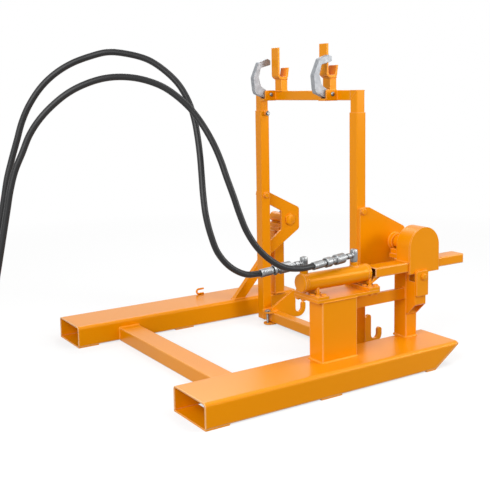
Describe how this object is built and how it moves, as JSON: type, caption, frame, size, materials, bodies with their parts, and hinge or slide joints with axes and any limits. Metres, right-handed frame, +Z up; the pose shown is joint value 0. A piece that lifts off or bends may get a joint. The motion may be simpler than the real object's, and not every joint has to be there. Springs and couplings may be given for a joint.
{
  "type": "wheelie bin tipper",
  "caption": "Fork-mounted bin tipper: two fork pockets, a hinged lifting frame with rim claws, turned by a hydraulic cylinder through a rack and pinion.",
  "frame": {"origin": "on the floor, midway along the length and across the width, without the hoses", "axes": "+X away from the truck towards the bin, +Y across towards the free-running bearing side, +Z up"},
  "size_m": [1.8585, 1.116, 1.092],
  "materials": {
    "orange_paint": "gloss",
    "zinc_plate": "satin",
    "galvanised_steel": "matte",
    "machined_steel": "satin",
    "hard_chrome": "polished",
    "bronze": "satin",
    "black_rubber": "matte"
  },
  "bodies": {
    "base": {"near_fork_pocket": "orange_paint", "far_fork_pocket": "orange_paint", "bottom_straps": "orange_paint", "nose_plates": "orange_paint", "rear_cross_tube": "orange_paint", "near_stanchion": "orange_paint", "far_stanchion": "orange_paint", "far_brace": "orange_paint", "pedestal_column": "orange_paint", "pedestal_top_plate": "orange_paint", "tie_bar": "orange_paint", "cylinder_feet": "orange_paint", "foot_bolts": "orange_paint", "cylinder_barrel": "orange_paint", "cylinder_end_cap": "orange_paint", "cylinder_gland": "orange_paint", "rack_tube": "orange_paint", "rack_slide_pad": "bronze", "pinion_housing": "orange_paint", "housing_cover": "orange_paint", "housing_bracket": "orange_paint", "clamp_plate": "orange_paint", "clamp_plate_bolt": "orange_paint", "bearing_seats": "orange_paint", "bearing_tubes": "orange_paint", "bearing_bushes": "bronze", "grease_nipples": "zinc_plate", "hose_hook": "orange_paint", "port_elbows": "zinc_plate", "line_fittings": "zinc_plate", "hose_ferrules": "zinc_plate", "upper_hose": "black_rubber", "lower_hose": "black_rubber", "upper_hose_coupler": "zinc_plate", "lower_hose_coupler": "zinc_plate"},
    "rack": {"piston": "machined_steel", "piston_seal": "black_rubber", "piston_rod": "hard_chrome", "rack": "machined_steel"},
    "tilt_frame": {"near_pivot_plate": "orange_paint", "far_pivot_plate": "orange_paint", "plate_bolts": "orange_paint", "near_drive_shaft": "machined_steel", "shaft_key": "machined_steel", "pinion": "machined_steel", "shaft_collar": "orange_paint", "far_stub_shaft": "orange_paint", "outer_posts": "orange_paint", "lower_crossbar": "orange_paint", "crossbar_lugs": "orange_paint", "lug_bolts": "zinc_plate", "axle_hooks": "orange_paint", "post_clamp_screws": "zinc_plate"},
    "top_frame": {"sliding_frame": "orange_paint", "rim_cradles": "orange_paint", "claw_clevises": "orange_paint", "claw_pivot_bolts": "zinc_plate"},
    "near_claw": {"near_claw": "galvanised_steel"},
    "far_claw": {"far_claw": "galvanised_steel"}
  },
  "joints": [
    {"name": "tilt", "type": "hinge", "parent": "base", "child": "tilt_frame", "pos_m": [0.3615, 0, 0.4], "axis": [0, 1, 0], "range_deg": [0, 130]},
    {"name": "rack_slide", "type": "slide", "parent": "base", "child": "rack", "axis": [1, 0, 0], "range_m": [-0.1317, 0]},
    {"name": "top_frame_slide", "type": "slide", "parent": "tilt_frame", "child": "top_frame", "axis": [0, 0, 1], "range_m": [-0.04, 0.12]},
    {"name": "near_claw_swing", "type": "hinge", "parent": "top_frame", "child": "near_claw", "pos_m": [0.1785, -0.186, 0.9175], "axis": [0, 1, 0], "range_deg": [0, 35]},
    {"name": "far_claw_swing", "type": "hinge", "parent": "top_frame", "child": "far_claw", "pos_m": [0.1785, 0.186, 0.9175], "axis": [0, 1, 0], "range_deg": [0, 35]}
  ],
  "couplings": [
    {"joint": "rack_slide", "follows": "tilt", "m_per_rad": -0.058}
  ]
}
